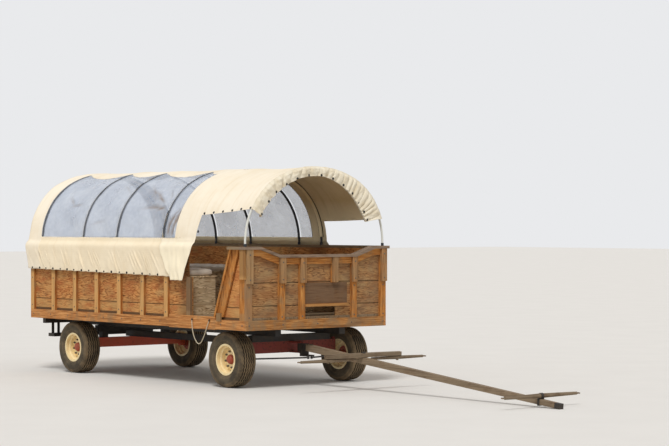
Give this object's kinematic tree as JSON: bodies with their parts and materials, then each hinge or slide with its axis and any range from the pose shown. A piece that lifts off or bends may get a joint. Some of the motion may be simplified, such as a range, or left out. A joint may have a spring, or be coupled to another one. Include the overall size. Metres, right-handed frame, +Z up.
{
  "type": "covered wagon",
  "caption": "Covered passenger wagon: timber box with canvas canopy on bows, over a steerable running gear with rubber tyres, a pole and evener.",
  "frame": {"origin": "on the ground, under the centre of the wagon's box with its pole lowered", "axes": "+X forward along the wagon, -Y its right side, +Z up"},
  "size_m": [9.9746, 2.533, 2.9813],
  "materials": {
    "timber": "oiled softwood boards",
    "plywood": "oiled plywood",
    "weathered_timber": "grey weathered",
    "cushion_vinyl": "grey vinyl",
    "pale_tube": "white tube",
    "dark_tube": "dark tube",
    "canvas": "cream coated canvas",
    "clear_vinyl": "clear vinyl",
    "red_paint": "red paint",
    "black_steel": "black",
    "rim_paint": "cream paint",
    "tyre_rubber": "dusty rubber",
    "pole_wood": "bare weathered wood",
    "rope": "three-strand rope"
  },
  "bodies": {
    "wagon": {"side_sills": "timber", "end_sills": "weathered_timber", "crossbeams": "timber", "deck_planks": "weathered_timber", "box_walls": "plywood", "wall_stakes": "timber", "door_diagonals": "timber", "door_posts": "weathered_timber", "front_wall": "plywood", "front_cap": "weathered_timber", "front_stakes": "weathered_timber", "front_cleats": "weathered_timber", "front_rails": "timber", "front_patch": "weathered_timber", "top_rails": "weathered_timber", "benches": "timber", "driver_bench": "timber", "cushions": "cushion_vinyl", "front_bow": "pale_tube", "bows": "dark_tube", "bow_sockets": "dark_tube", "canopy_cover": "canvas", "side_windows": "clear_vinyl", "front_ruffle": "canvas", "rear_curtain": "canvas", "reach": "black_steel", "rear_axle": "red_paint", "front_axle": "red_paint", "bolsters": "black_steel", "stringers": "black_steel", "rear_step": "black_steel", "rope_eyes": "black_steel", "rope_loop": "rope"},
    "wheel_rr": {"tyre_rr": "tyre_rubber", "rim_rr": "rim_paint", "hub_rr": "red_paint"},
    "wheel_rl": {"tyre_rl": "tyre_rubber", "rim_rl": "rim_paint", "hub_rl": "red_paint"},
    "wheel_fr": {"tyre_fr": "tyre_rubber", "rim_fr": "rim_paint", "hub_fr": "red_paint"},
    "wheel_fl": {"tyre_fl": "tyre_rubber", "rim_fl": "rim_paint", "hub_fl": "red_paint"},
    "knuckle_right": {"knuckle_r": "red_paint"},
    "knuckle_left": {"knuckle_l": "red_paint"},
    "head": {"steering_head": "black_steel"},
    "tie_rod_right": {"tie_rod_r": "black_steel"},
    "tie_rod_left": {"tie_rod_l": "black_steel"},
    "draft_pole": {"pole": "pole_wood", "pole_hardware": "black_steel", "neck_yoke": "pole_wood"},
    "evener": {"doubletree": "pole_wood"},
    "singletree_right": {"singletree_r": "pole_wood"},
    "singletree_left": {"singletree_l": "pole_wood"}
  },
  "joints": [
    {"name": "spin_rr", "type": "hinge", "parent": "wagon", "child": "wheel_rr", "pos_m": [-3.97135, -0.985, 0.3785], "axis": [0, 1, 0], "continuous": true},
    {"name": "spin_rl", "type": "hinge", "parent": "wagon", "child": "wheel_rl", "pos_m": [-3.97135, 0.985, 0.3785], "axis": [0, 1, 0], "continuous": true},
    {"name": "spin_fr", "type": "hinge", "parent": "knuckle_right", "child": "wheel_fr", "pos_m": [-0.21135, -0.985, 0.3785], "axis": [0, 1, 0], "continuous": true},
    {"name": "spin_fl", "type": "hinge", "parent": "knuckle_left", "child": "wheel_fl", "pos_m": [-0.21135, 0.985, 0.3785], "axis": [0, 1, 0], "continuous": true},
    {"name": "steer", "type": "hinge", "parent": "wagon", "child": "head", "pos_m": [0.03865, 0, 0.52], "axis": [0, 0, 1], "range_deg": [-28, 28]},
    {"name": "knuckle_right_turn", "type": "hinge", "parent": "wagon", "child": "knuckle_right", "pos_m": [-0.21135, -0.78, 0.3785], "axis": [0, 0, 1], "range_deg": [-28, 28]},
    {"name": "tie_rod_right_swing", "type": "hinge", "parent": "head", "child": "tie_rod_right", "pos_m": [0.23865, -0.03, 0.385], "axis": [0, 0, 1], "range_deg": [-28, 28]},
    {"name": "knuckle_left_turn", "type": "hinge", "parent": "wagon", "child": "knuckle_left", "pos_m": [-0.21135, 0.78, 0.3785], "axis": [0, 0, 1], "range_deg": [-28, 28]},
    {"name": "tie_rod_left_swing", "type": "hinge", "parent": "head", "child": "tie_rod_left", "pos_m": [0.23865, 0.03, 0.385], "axis": [0, 0, 1], "range_deg": [-28, 28]},
    {"name": "pole_lift", "type": "hinge", "parent": "head", "child": "draft_pole", "pos_m": [0.17865, 0, 0.52], "axis": [0, -1, 0], "range_deg": [0, 15]},
    {"name": "evener_swing", "type": "hinge", "parent": "draft_pole", "child": "evener", "pos_m": [1.35983, 0, 0.47193], "axis": [0.1009, 0, 0.9949], "range_deg": [-15, 15]},
    {"name": "singletree_right_swing", "type": "hinge", "parent": "evener", "child": "singletree_right", "pos_m": [1.35438, -0.6, 0.41821], "axis": [0.1009, 0, 0.9949], "range_deg": [-20, 20]},
    {"name": "singletree_left_swing", "type": "hinge", "parent": "evener", "child": "singletree_left", "pos_m": [1.35438, 0.6, 0.41821], "axis": [0.1009, 0, 0.9949], "range_deg": [-20, 20]}
  ],
  "couplings": [
    {"joint": "knuckle_right_turn", "follows": "steer", "ratio": 1},
    {"joint": "tie_rod_right_swing", "follows": "steer", "ratio": -1},
    {"joint": "knuckle_left_turn", "follows": "steer", "ratio": 1},
    {"joint": "tie_rod_left_swing", "follows": "steer", "ratio": -1}
  ]
}
